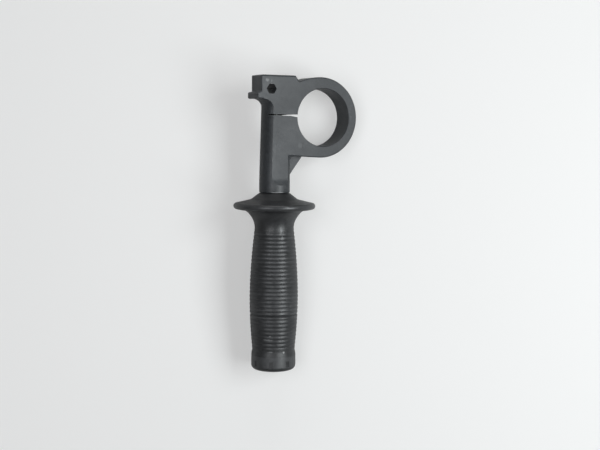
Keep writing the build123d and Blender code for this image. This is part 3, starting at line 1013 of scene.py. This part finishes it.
@dataclass
class RibbedGrip(TurnedPiece):
    """The black grip: cone, hand guard flange, neck, ribbed belly, waist and butt.

    Lengths are in metres. A drop is measured down from the grip's top and a rise up from its lower end.
    What is above or below the cone's ends is a share of its edge, and the grooves' lead and stop are
    counted in ribs. A start is the direction in which a curve sets out, as radius and drop. A pull or a
    bend is a tangent's length, as a share of the distance that it spans.
    """

    name: str = "ribbed_grip"
    node: str = "grip"
    slot: Slot = Slot.GRIP
    segments: int = 192
    cone_top_radius: float = 11.5 * MM
    cone_foot_radius: float = 17.6 * MM
    cone_height: float = 4.8 * MM
    cone_edge: float = 0.5 * MM
    cone_top_below: float = 0.45
    cone_foot_above: float = 0.7
    cone_foot_below: float = 0.15
    flange_radius: float = 30.35 * MM
    flange_top_fall: float = 2.5 * MM
    flange_rim: float = 4.6 * MM
    flange_under_width: float = 3.5 * MM
    flange_under_fall: float = 0.3 * MM
    flare_radius: float = 19.0 * MM
    flare_height: float = 3.0 * MM
    flare_start: Point = (-1.0, 0.15)
    flare_pull: float = 1.1
    flare_bend: float = 0.62
    neck_radius: float = 14.5 * MM
    neck_height: float = 10.8 * MM
    belly_radius: float = 18.05 * MM
    belly_power: float = 1.8
    neck_to_belly: float = 51.0 * MM
    waist_radius: float = 15.8 * MM
    waist_power: float = 2.0
    belly_to_waist: float = 39.8 * MM
    swell_start: Point = (0.33, 0.94)
    butt_radius: float = 16.55 * MM
    waist_to_butt: float = 4.2 * MM
    butt_round: float = 3.5 * MM
    dish_radius: float = 9.0 * MM
    dish_depth: float = 0.8 * MM
    dish_edge: float = 0.3 * MM
    rib_pitch: float = 2.94 * MM
    rib_start: float = 2.1 * MM
    rib_depth: float = 0.4 * MM
    rib_power: float = 2.2
    groove_lead: float = 0.6
    groove_stop: float = 0.3
    rows_a_rib: int = 10
    deep_groove_drop: float = 89.8 * MM
    deep_groove_share: float = 2.25
    worn_share: float = 0.7
    bore_radius: float = 3.97 * MM
    insert_gap: float = 0.02 * MM
    head_flats: float = 13.04 * MM
    head_height: float = 5.3 * MM
    notch_count: int = 8
    notch_width: float = 2.9 * MM
    notch_height: float = 4.5 * MM
    notch_rise: float = 3.4 * MM
    notch_depth: float = 0.35 * MM
    notch_turn: float = 58.3
    plate_steps: int = 8
    rim_steps: int = 20
    flare_steps: int = 16
    neck_steps: int = 20
    swell_steps: int = 14
    wall_steps: int = 14
    end_steps: int = 12
    butt_wear_rise: Point = (0.6 * MM, 11.5 * MM)
    butt_wear: float = 0.4
    rim_wear_and_highlight: float = 0.28
    rim_wear_and_highlight_depth: float = 1.2 * MM
    rim_polish: float = 0.55

    def cut(self, obj: Object, material: Material) -> None:
        """Cuts the shallow notches round the butt.

        Args:
            obj: The grip, with its turned form still a modifier.
            material: The grip's plastic.
        """
        middle = self.assembly.grip_end + self.notch_rise + self.notch_height / 2
        use_tree(obj, notching.tree, {
            "Count": self.notch_count, "Axis X": self.assembly.axis_x, "Radius": self.butt_radius,
            "Middle": middle, "Width": self.notch_width, "Height": self.notch_height,
            "Depth": self.notch_depth, "Turn": math.radians(self.notch_turn), "Material": material})

    def settings(self) -> dict[str, Value]:
        """Gives the ribs' sizes and the flats of the bolt head's pocket.

        Returns:
            The tree's inputs, by name.
        """
        first = self.assembly.grip_top - self._neck_drop - self.rib_start
        return {"Ridge Pitch": self.rib_pitch, "Ridge Depth": self.rib_depth, "Ridge Origin": first,
                "Ridge Lead": Ridges.RINGS.value, "Ridge Power": self.rib_power,
                "Across Flats": self.head_flats}

    def finish(self) -> MouldedPlastic:
        """Dresses the grip in black plastic.

        Returns:
            The finish, with the scuff marks of the butt and the upper ribs, the worn butt, and the flange rim
            lightened partly by wear and partly as a painted highlight.
        """
        place = self.assembly
        butt_low, butt_high = (place.grip_end + rise for rise in self.butt_wear_rise)
        return MouldedPlastic(
            "grip_plastic", colour=(0.013, 0.0135, 0.0145), worn=(0.1, 0.103, 0.107), specular=0.62,
            grain_scale=1500.0, grain_depth=0.035 * MM, speckle=0.25, edge_reach=0.5 * MM, edge_wear=0.35,
            scratch_cover=0.46, squeeze=(1.0, 1.0, 3.0), crest_wear=0.55, rubs_and_highlights=(
                LocalSpot((-35.0, -15.8, -172.7), (1.0, 1.0, 0.8), 0.8),
                LocalSpot((-46.3, -12.4, -163.2), (4.2, 3.4, 0.4), 0.5),
                LocalSpot((-45.0, -13.7, -160.4), (0.7, 1.0, 0.5), 0.5),
                LocalSpot((-44.3, -12.9, -172.4), (2.4, 2.0, 0.4), 0.35),
                LocalSpot((-37.0, -14.6, -82.4), (1.1, 1.6, 2.6), 0.24, ragged=3.2),
                LocalSpot((-36.2, -15.1, -88.6), (1.0, 1.6, 1.4), 0.24, ragged=3.2),
                LocalSpot((-46.6, -11.0, -84.5), (1.8, 2.0, 2.4), 0.12, ragged=3.2)),
            bands=(Band(place.axis_x, self.butt_radius, butt_low, butt_high, self.butt_wear),
                   # Partly wear and partly painted highlight: this band lightens the flange rim along the
                   # line where its highlight falls.
                   Band(place.axis_x, self.flange_radius, place.grip_top - self._rim_low,
                        place.grip_top - self._rim_high, self.rim_wear_and_highlight, self.rim_wear_and_highlight_depth,
                        self.rim_polish)))

    @property
    def _rim_high(self) -> float:
        """Drop of the flange rim's top."""
        return self.cone_height + self.flange_top_fall

    @property
    def _rim_low(self) -> float:
        """Drop of the flange rim's underside."""
        return self._rim_high + self.flange_rim

    @property
    def _flare_drop(self) -> float:
        """Drop of the flare under the flange."""
        return self._rim_low + self.flange_under_fall + self.flare_height

    @property
    def _neck_drop(self) -> float:
        """Drop of the neck, where the ribs begin."""
        return self._flare_drop + self.neck_height

    @property
    def _belly_drop(self) -> float:
        """Drop of the widest place of the belly."""
        return self._neck_drop + self.neck_to_belly

    @property
    def _waist_drop(self) -> float:
        """Drop of the waist, where the ribs end."""
        return self._belly_drop + self.belly_to_waist

    def _belly_radius(self, drop: float) -> float:
        """Finds how thick the ribbed stretch is.

        Args:
            drop: Distance below the top.

        Returns:
            The radius over the ribs.
        """
        if drop <= self._belly_drop:
            share = (self._belly_drop - drop) / self.neck_to_belly
            return self.belly_radius - (self.belly_radius - self.neck_radius) * share ** self.belly_power
        share = (drop - self._belly_drop) / self.belly_to_waist
        return self.belly_radius - (self.belly_radius - self.waist_radius) * share ** self.waist_power

    def _rib_share(self, drop: float) -> float:
        """Finds how deep the grooves are: none at the ends, worn low down, and one groove deeper.

        Args:
            drop: Distance below the top.

        Returns:
            The depth, as a share of the usual one.
        """
        first = self._neck_drop + self.rib_start
        rise = min(1.0, max(0.0, (drop - first) / self.rib_pitch + self.groove_lead))
        fall = min(1.0, max(0.0, (self._waist_drop - drop) / self.rib_pitch - self.groove_stop))
        share = self.worn_share if drop > self.deep_groove_drop else 1.0
        nearest = round((self.deep_groove_drop - first) / self.rib_pitch)
        if abs(drop - first - nearest * self.rib_pitch) < self.rib_pitch / 2:
            share = self.deep_groove_share
        return share * rise * fall

    def rows(self) -> list[Row]:
        """Returns the outline from the bolt's pocket, up its bore, down the outside, to the dish."""
        return [*self._pocket(), *self._guard(), *self._belly(), *self._butt()]

    def _at(self, points: Iterable[Point]) -> list[Row]:
        """Returns plain rows from radii and drops below the top."""
        return [Row(radius, self.assembly.grip_top - drop) for radius, drop in points]

    def _pocket(self) -> list[Row]:
        """Outlines the room for the bolt's head and stem.

        Returns:
            The rows, from the axis to the grip's top.
        """
        low = self.assembly.bolt_low - self.insert_gap
        seat = self.assembly.bolt_low + self.head_height + self.insert_gap
        corner = across_corners(self.head_flats) + self.insert_gap
        return [Row(0.0, low), Row(corner, low, faceted=1.0), Row(corner, seat, faceted=1.0),
                Row(self.bore_radius, seat), Row(self.bore_radius, self.assembly.grip_top)]

    def _guard(self) -> list[Row]:
        """Outlines the cone, the flange and its flare down to the neck.

        Returns:
            The rows, from the top downwards.
        """
        edge = self.cone_edge
        top = [(self.cone_top_radius - edge, 0.0), (self.cone_top_radius, edge * self.cone_top_below)]
        foot = (self.cone_foot_radius + edge, self.cone_height + edge * self.cone_foot_below)
        slope = [(self.cone_foot_radius - edge, self.cone_height - edge * self.cone_foot_above), foot]
        rim_half = self.flange_rim / 2
        flat_end = self.flange_radius - rim_half
        plate = list(zip(spread(foot[0], flat_end, self.plate_steps),
                         spread(foot[1], self._rim_high, self.plate_steps)))[1:-1]
        rim = arc((flat_end, (self._rim_high + self._rim_low) / 2), rim_half, -90, 90, self.rim_steps)
        under = Vector((self.flange_radius - self.flange_under_width, self._rim_low + self.flange_under_fall))
        flare = Vector((self.flare_radius, self._flare_drop))
        neck = Vector((self.neck_radius, self._neck_drop))
        bend = (neck - under) * self.flare_bend
        leaving = Vector(self.flare_start) * (under - flare).length * self.flare_pull
        arriving = Vector((0.0, 1.0)) * (flare - neck).length * self.flare_pull
        first = hermite(under, flare, leaving, bend, self.flare_steps)
        second = hermite(flare, neck, bend, arriving, self.neck_steps)
        return self._at([*top, *slope, *plate, *rim, *first, *second[1:-1]])

    def _belly(self) -> list[Row]:
        """Outlines the ribbed stretch, with a fixed number of rows for each rib.

        Returns:
            The rows, from the neck to the waist.
        """
        count = round((self._waist_drop - self._neck_drop) / self.rib_pitch * self.rows_a_rib)
        return [Row(self._belly_radius(drop), self.assembly.grip_top - drop, self._rib_share(drop))
                for drop in spread(self._neck_drop, self._waist_drop, count)]

    def _butt(self) -> list[Row]:
        """Outlines the swelling below the waist, the rounded end and its dish.

        Returns:
            The rows, from the waist to the axis.
        """
        length = self.assembly.grip_top - self.assembly.grip_end
        waist = Vector((self.waist_radius, self._waist_drop))
        swell = Vector((self.butt_radius, self._waist_drop + self.waist_to_butt))
        reach = (swell - waist).length
        curve = hermite(waist, swell, Vector(self.swell_start) * reach, Vector((0.0, 1.0)) * reach,
                        self.swell_steps)[1:]
        low = length - self.butt_round
        wall = [(self.butt_radius, drop) for drop in spread(swell.y, low, self.wall_steps)[1:-1]]
        end = arc((self.butt_radius - self.butt_round, low), self.butt_round, 0, 90, self.end_steps)
        edge, floor = self.dish_edge, length - self.dish_depth
        dish = [(self.dish_radius + edge, length), (self.dish_radius, length - edge),
                (self.dish_radius - edge, floor), (0.0, floor)]
        return self._at([*curve, *wall, *end, *dish])


@dataclass
class ThreadedPiece(TurnedPiece):
    """A steel piece with a hexagon's flats and the bolt's thread.

    Attributes:
        thread_pitch: Rise of the thread in one turn.
        thread_depth: Its depth.
        thread_power: Its shape: 1 is a sharp V, and more makes the crests broader.
        rows_a_turn: Rows for one turn of the thread.
        flats: Size across the flats.
        flats_turn: How far the flats are turned, as a share of a full turn.
    """

    segments: int = 60
    thread_pitch: float = 1.25 * MM
    thread_depth: float = 0.62 * MM
    thread_power: float = 1.25
    rows_a_turn: int = 10
    flats: float = 13.0 * MM
    flats_turn: float = 0.0

    def settings(self) -> dict[str, Value]:
        """Gives the thread's sizes, which start from the bolt's tip in both pieces, and the flats.

        Returns:
            The tree's inputs, by name.
        """
        return {"Ridge Pitch": self.thread_pitch, "Ridge Depth": self.thread_depth,
                "Ridge Origin": self.assembly.bolt_tip, "Ridge Lead": Ridges.THREAD.value,
                "Ridge Power": self.thread_power, "Across Flats": self.flats, "Flats Turn": self.flats_turn}

    def thread(self, start: float, end: float) -> list[float]:
        """Returns the heights of the thread's rows from one height to another."""
        return spread(start, end, round(abs(end - start) / self.thread_pitch * self.rows_a_turn))


@dataclass
class GripBolt(ThreadedPiece):
    """The bolt that is moulded into the grip by its head, with its thread.

    Attributes:
        radius: Radius of the stem, out to the thread's crests.
        thread_length: How far down from the tip the thread goes.
        tip_chamfer: Height and width of the tip's chamfer.
        tip_shares: Where the rows of that chamfer are, as shares of it.
        tip_fade: How fast the thread runs out on it.
        head_height: Height of the head.
        head_chamfer: Height of the head's chamfer.
        head_chamfer_width: That chamfer's width, as a multiple of its height.
    """

    name: str = "threaded_bolt"
    node: str = "grip_bolt"
    radius: float = 3.95 * MM
    thread_length: float = 22.0 * MM
    tip_chamfer: float = 0.8 * MM
    tip_shares: tuple[float, ...] = (0.25, 0.5, 0.75, 1.0)
    tip_fade: float = 1.6
    head_height: float = 5.3 * MM
    head_chamfer: float = 0.6 * MM
    head_chamfer_width: float = 1.7

    def finish(self) -> PlatedSteel:
        """Returns the bolt's plating."""
        return PlatedSteel("bolt_steel")

    def rows(self) -> list[Row]:
        """Outlines the bolt.

        Returns:
            The rows, from the underside of the head to the tip.
        """
        low, tip = self.assembly.bolt_low, self.assembly.bolt_tip
        seat = low + self.head_height
        corner = across_corners(self.flats)
        head = [Row(0.0, low), Row(corner - self.head_chamfer * self.head_chamfer_width, low, faceted=1.0),
                Row(corner, low + self.head_chamfer, faceted=1.0), Row(corner, seat, faceted=1.0)]
        thread_end = tip - self.tip_chamfer
        heights = self.thread(tip - self.thread_length, thread_end)
        stem = [Row(self.radius, seat), Row(self.radius, heights[0])]
        thread = [Row(self.radius, height, ridged=min(1.0, step / self.rows_a_turn))
                  for step, height in enumerate(heights)][1:]
        end = [Row(self.radius - self.tip_chamfer * share, thread_end + self.tip_chamfer * share,
                   ridged=max(0.0, 1.0 - share * self.tip_fade)) for share in self.tip_shares]
        return [*head, *stem, *thread, *end, Row(0.0, tip)]


@dataclass
class ClampNut(ThreadedPiece):
    """The captive nut, with the thread that the bolt runs in.

    Attributes:
        bore_radius: Radius of the bore, out to the bottom of its thread.
        height: Height of the nut.
        chamfer: Height of the chamfers on its corners.
        mouth: How far from each face the thread begins.
        mouth_width: How much wider than the bore it is at the faces.
    """

    name: str = "captive_nut"
    node: str = "clamp_nut"
    body: Body = Body.CLAMP
    flats_turn: float = 30 / 360
    bore_radius: float = 4.0 * MM
    height: float = 6.5 * MM
    chamfer: float = 0.5 * MM
    mouth: float = 0.5 * MM
    mouth_width: float = 0.1 * MM

    def finish(self) -> PlatedSteel:
        """Returns the nut's plating."""
        return PlatedSteel("nut_steel", roughness=0.34)

    def rows(self) -> list[Row]:
        """Outlines the nut.

        Returns:
            The closed outline, up the outside and down the threaded bore.
        """
        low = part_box(self.node)[0][2]
        high = low + self.height
        corner = across_corners(self.flats)
        inner = corner - self.chamfer / math.tan(math.radians(30))
        rim = self.bore_radius + self.mouth_width
        outside = [Row(inner, low, faceted=1.0), Row(corner, low + self.chamfer, faceted=1.0),
                   Row(corner, high - self.chamfer, faceted=1.0), Row(inner, high, faceted=1.0)]
        bore = [Row(self.bore_radius, height, ridged=1.0)
                for height in self.thread(high - self.mouth, low + self.mouth)]
        return [Row(rim, low), *outside, Row(rim, high), *bore, Row(rim, low)]


@dataclass
class ThrustWasher(TurnedPiece):
    """The plain washer between the clamp's foot and the grip.

    Attributes:
        radius: Radius of its outside.
        hole_radius: Radius of its hole.
        thickness: Its thickness.
        edge_round: Radius of its rounded edges.
        edge_steps: Straight pieces in each rounded edge.
    """

    name: str = "plated_washer"
    node: str = "thrust_washer"
    body: Body = Body.WASHER
    radius: float = 8.0 * MM
    hole_radius: float = 4.2 * MM
    thickness: float = 1.6 * MM
    edge_round: float = 0.2 * MM
    edge_steps: int = 4

    def finish(self) -> PlatedSteel:
        """Returns the washer's plating."""
        return PlatedSteel("washer_steel", squeeze=(1.0, 1.0, 0.2))

    def rows(self) -> list[Row]:
        """Outlines the washer.

        Returns:
            The closed outline, with its edges rounded.
        """
        edge = self.edge_round
        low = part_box(self.node)[0][2]
        high = low + self.thickness
        outer, inner = self.radius - edge, self.hole_radius + edge
        corners = [((outer, low + edge), -90), ((outer, high - edge), 0),
                   ((inner, high - edge), 90), ((inner, low + edge), 180)]
        points = [point for centre, start in corners
                  for point in arc(centre, edge, start, start + 90, self.edge_steps)]
        return [Row(radius, height) for radius, height in [*points, points[0]]]


@dataclass
class ClampBody:
    """The clamp's moulding, which keeps the frame's own form and gets its finish here."""

    node: str = "clamp_body"

    def finish(self) -> MouldedPlastic:
        """Dresses the clamp in dark grey plastic.

        Returns:
            The finish, with the scuff marks of the jaw, the pale ejector mark, a painted highlight over the
            collar, a brighter painted highlight along the collar's foot edge and two faint lines down the
            shank.
        """
        return MouldedPlastic(
            "clamp_plastic", colour=(0.0225, 0.0256, 0.0287), worn=(0.12, 0.127, 0.134), specular=0.47,
            grain_scale=1300.0, grain_depth=0.045 * MM, speckle=0.3, edge_reach=0.7 * MM, edge_wear=0.15,
            scratch_cover=0.42, rubs_and_highlights=(
                LocalSpot((-46.5, -9.3, 26.4), (1.6, 1.0, 1.2), 0.36),
                LocalSpot((-42.9, -9.3, 26.0), (0.5, 1.0, 1.1), 0.18),
                LocalSpot((-19.1, -9.2, -20.6), (2.3, 1.0, 2.3), 0.11, ragged=0.4),
                # Painted highlight: this broad pale patch lightens the collar's front where the key lamp's
                # sheen falls.
                LocalSpot((-37.5, -11.5, -51.0), (8.0, 5.0, 4.2), 0.08, ragged=1.2),
                # Painted highlight: this strong pale line along the collar's foot edge stands in for the
                # light that edge catches.
                LocalSpot((-38.6, -11.0, -55.1), (6.4, 3.4, 0.45), 0.6, ragged=1.2),
                LocalSpot((-41.6, -9.3, -27.0), (0.28, 0.8, 17.0), 0.14, ragged=1.0),
                LocalSpot((-39.9, -9.3, -25.0), (0.28, 0.8, 15.0), 0.1, ragged=1.0)))

    def build(self) -> Object:
        """Dresses the frame's node.

        Returns:
            The node's object.
        """
        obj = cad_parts[self.node]
        obj.data.materials.clear()
        obj.data.materials.append(self.finish().build())
        return obj


@dataclass(frozen=True)
class Softbox:
    """A studio softbox, placed by how it is seen from the object.

    Attributes:
        name: The lamp's name.
        right: Degrees to the right of the camera.
        up: Degrees above the camera.
        distance: Metres from the object.
        size: Width and height in metres.
        power: Watts.
        colour: The light's colour, linear.
    """

    name: str
    right: float
    up: float
    distance: float
    size: Point
    power: float
    colour: Triple = (1.0, 1.0, 1.0)


@dataclass
class Studio:
    """The board behind the object, the lamps, the sky and the camera.

    The board's own directions are X to the right, Y up and Z towards the camera.

    Attributes:
        image_width: Width of the photograph in pixels.
        focal_pixels: The camera's focal length in those pixels.
        camera_turn: The camera's tilt about the board's X, Y and Z, in degrees.
        camera_shift: Its offset along the board's X and Y, in metres.
        camera_distance: Its distance from the board's plane, in metres.
        camera_reach: The nearest and the furthest that it sees, in metres.
        sensor_width: Its sensor's width, in millimetres.
        handle_turn: The handle's turn about its own axis, in degrees.
        handle_tip: How far its lower end dips towards the board, in degrees.
        handle_lean: How far it leans in the picture, in degrees.
        handle_place: The collar's centre in the board's directions, in metres.
        softboxes: The lamps.
        fill: Strength of the light that comes from all round.
        gloss_fill: Strength of the surroundings as gloss shows them.
        board_size: Width and height of the board, in metres.
        board_colour: The board's paint, linear.
        board_roughness: That paint's roughness.
        board_specular: Its specular level.
        board_gloss: How much of the board's paint shows in the gloss of the pieces.
        board_glow: How much of the board's look, to the camera, is its own plain white.
        board_white: That white, linear.
    """

    image_width: int = 600
    focal_pixels: float = 1100.0
    camera_turn: Triple = (-1.71, 0.45, -0.08)
    camera_shift: Point = (-1.13 * MM, 12.63 * MM)
    camera_distance: float = 844.7 * MM
    camera_reach: Point = (0.01, 20.0)
    sensor_width: float = 36.0
    handle_turn: float = 26.74
    handle_tip: float = 6.49
    handle_lean: float = -0.39
    handle_place: Triple = (14.14 * MM, 67.34 * MM, 21.17 * MM)
    softboxes: tuple[Softbox, ...] = (
        Softbox("key", 42.0, -3.0, 0.95, (0.4, 0.75), 7.2, (0.94, 0.985, 1.0)),
        Softbox("front", -20.0, -3.0, 1.1, (0.5, 0.75), 3.6, (0.95, 0.97, 1.0)),
        Softbox("top", 5.0, 72.0, 0.9, (0.6, 0.4), 1.7),
        Softbox("rear", 178.0, 8.0, 1.0, (0.8, 0.8), 7.0))
    fill: float = 0.07
    gloss_fill: float = 0.14
    board_size: Point = (8.0, 8.0)
    board_colour: Triple = (0.85, 0.845, 0.835)
    board_roughness: float = 0.55
    board_specular: float = 0.3
    board_gloss: float = 0.72
    board_glow: float = 0.38
    board_white: Triple = (0.97, 0.97, 0.965)

    @cached_property
    def part_to_board(self) -> Matrix:
        """Works out how the part stands in front of the board.

        Returns:
            The part's directions in the board's.
        """
        turn = math.radians(self.handle_turn)
        roll = Matrix(((math.cos(turn), -math.sin(turn), 0.0), (0.0, 0.0, 1.0),
                       (-math.sin(turn), -math.cos(turn), 0.0)))
        return (Matrix.Rotation(math.radians(self.handle_lean), 3, "Z")
                @ Matrix.Rotation(math.radians(self.handle_tip), 3, "X") @ roll)

    def to_part(self, direction: Iterable[float]) -> Vector:
        """Returns one of the board's directions in the part's frame."""
        return self.part_to_board.transposed() @ Vector(direction)

    def make_camera(self) -> None:
        """Makes the camera at the photograph's viewpoint and makes it the scene's own."""
        rx, ry, rz = (math.radians(angle) for angle in self.camera_turn)
        tilt = Matrix.Rotation(rz, 3, "Z") @ Matrix.Rotation(ry, 3, "Y") @ Matrix.Rotation(rx, 3, "X")
        offset = tilt @ Vector(self.handle_place) + Vector((*self.camera_shift, -self.camera_distance))
        back = (tilt @ self.part_to_board).transposed()
        data = bpy.data.cameras.new("photo_camera")
        data.sensor_width = self.sensor_width
        data.lens = self.focal_pixels * self.sensor_width / self.image_width
        data.clip_start, data.clip_end = self.camera_reach
        camera = bpy.data.objects.new("photo_camera", data)
        camera.matrix_world = Matrix.Translation(-(back @ offset)) @ back.to_4x4()
        bpy.context.scene.collection.objects.link(camera)
        bpy.context.scene.camera = camera

    def make_board(self, pieces: Iterable[Object]) -> None:
        """Makes the pale board that the object lies against.

        Args:
            pieces: The object's pieces; the board touches the one that is furthest back.
        """
        right, up, normal = (self.to_part(axis) for axis in Matrix.Identity(3))
        depth = min(normal.dot(vertex.co) for piece in pieces for vertex in piece.data.vertices)
        low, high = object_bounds()
        middle = (low + high) / 2
        middle -= normal * (normal.dot(middle) - depth)
        half_width, half_height = (size / 2 for size in self.board_size)
        corners = [middle + right * x * half_width + up * y * half_height
                   for x, y in ((-1, -1), (1, -1), (1, 1), (-1, 1))]
        mesh = bpy.data.meshes.new("board")
        mesh.from_pydata(corners, [], [(0, 1, 2, 3)])
        mesh.materials.append(self._board_paint())
        board = bpy.data.objects.new("board", mesh)
        bpy.context.scene.collection.objects.link(board)
        board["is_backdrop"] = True

    def _board_paint(self) -> Material:
        """Makes matt white paint that the camera can't see from behind, and that blocks no lamp.

        Returns:
            The material.
        """
        material, graph, shader = new_material("board_paint")
        shader.inputs["Roughness"].default_value = self.board_roughness
        shader.inputs["Specular IOR Level"].default_value = self.board_specular
        behind = graph.add("ShaderNodeNewGeometry").outputs["Backfacing"]
        path = graph.add("ShaderNodeLightPath").outputs
        seen = path["Is Camera Ray"]
        in_gloss = graph.math("MULTIPLY", path["Is Glossy Ray"], 1.0 - self.board_gloss)
        graph.feed(shader.inputs["Base Color"], graph.mix(in_gloss, opaque(self.board_colour),
                                                          opaque((0.0, 0.0, 0.0))))
        glow = graph.out("ShaderNodeEmission", {"Color": opaque(self.board_white)})
        lifted = graph.out("ShaderNodeMixShader", {0: graph.math("MULTIPLY", seen, self.board_glow),
                                                   1: shader.outputs[0], 2: glow})
        open_to = graph.math("MAXIMUM", graph.math("MULTIPLY", behind, seen), path["Is Shadow Ray"])
        surface = graph.out("ShaderNodeMixShader", {0: open_to, 1: lifted,
                                                    2: graph.out("ShaderNodeBsdfTransparent")})
        graph.feed(graph.tree.nodes["Material Output"].inputs["Surface"], surface)
        return material

    def make_lamps(self) -> None:
        """Hangs the softboxes round the object, facing it."""
        low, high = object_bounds()
        middle = (low + high) / 2
        for box in self.softboxes:
            right, up = math.radians(box.right), math.radians(box.up)
            towards = self.to_part((math.sin(right) * math.cos(up), math.sin(up),
                                    math.cos(right) * math.cos(up)))
            data = bpy.data.lights.new(box.name, "AREA")
            data.shape = "RECTANGLE"
            data.size, data.size_y = box.size
            data.energy = box.power
            data.color = box.colour
            lamp = bpy.data.objects.new(box.name, data)
            lamp.visible_camera = False
            lamp.location = middle + towards * box.distance
            lamp.rotation_mode = "QUATERNION"
            lamp.rotation_quaternion = towards.to_track_quat("Z", "Y")
            bpy.context.scene.collection.objects.link(lamp)

    def make_sky(self) -> None:
        """Makes surroundings that are white to the camera and dim to the pieces and their gloss."""
        world = bpy.data.worlds.new("surroundings")
        world.use_nodes = True
        bpy.context.scene.world = world
        graph = Graph(world.node_tree)
        path = graph.add("ShaderNodeLightPath").outputs
        seen = graph.math("MAXIMUM", path["Is Camera Ray"], path["Is Transmission Ray"])
        strength = graph.math("MULTIPLY_ADD", path["Is Glossy Ray"], self.gloss_fill - self.fill, self.fill)
        background = graph.tree.nodes["Background"]
        background.inputs["Color"].default_value = opaque((1.0, 1.0, 1.0))
        graph.feed(background.inputs["Strength"], graph.math("MAXIMUM", seen, strength))


def triangles(obj: Object) -> int:
    """Returns how many triangles an object's mesh has."""
    return sum(len(polygon.vertices) - 2 for polygon in obj.data.polygons)


def main() -> None:
    """Builds the pieces in order, dresses them and sets them in the studio."""
    logging.basicConfig(level=logging.INFO, format="%(name)s: %(message)s")
    assembly = Assembly.from_frame()
    studio = Studio()
    studio.make_camera()
    pieces = []
    for maker in (ClampBody(), ClampNut(assembly), ThrustWasher(assembly), GripBolt(assembly),
                  RibbedGrip(assembly)):
        piece = maker.build()
        pieces.append(piece)
        log.info("%s: %d triangles", piece.name, triangles(piece))
    studio.make_board(pieces)
    studio.make_lamps()
    studio.make_sky()
    bpy.context.scene.view_settings.view_transform = "Standard"


if __name__ == "__main__":
    main()
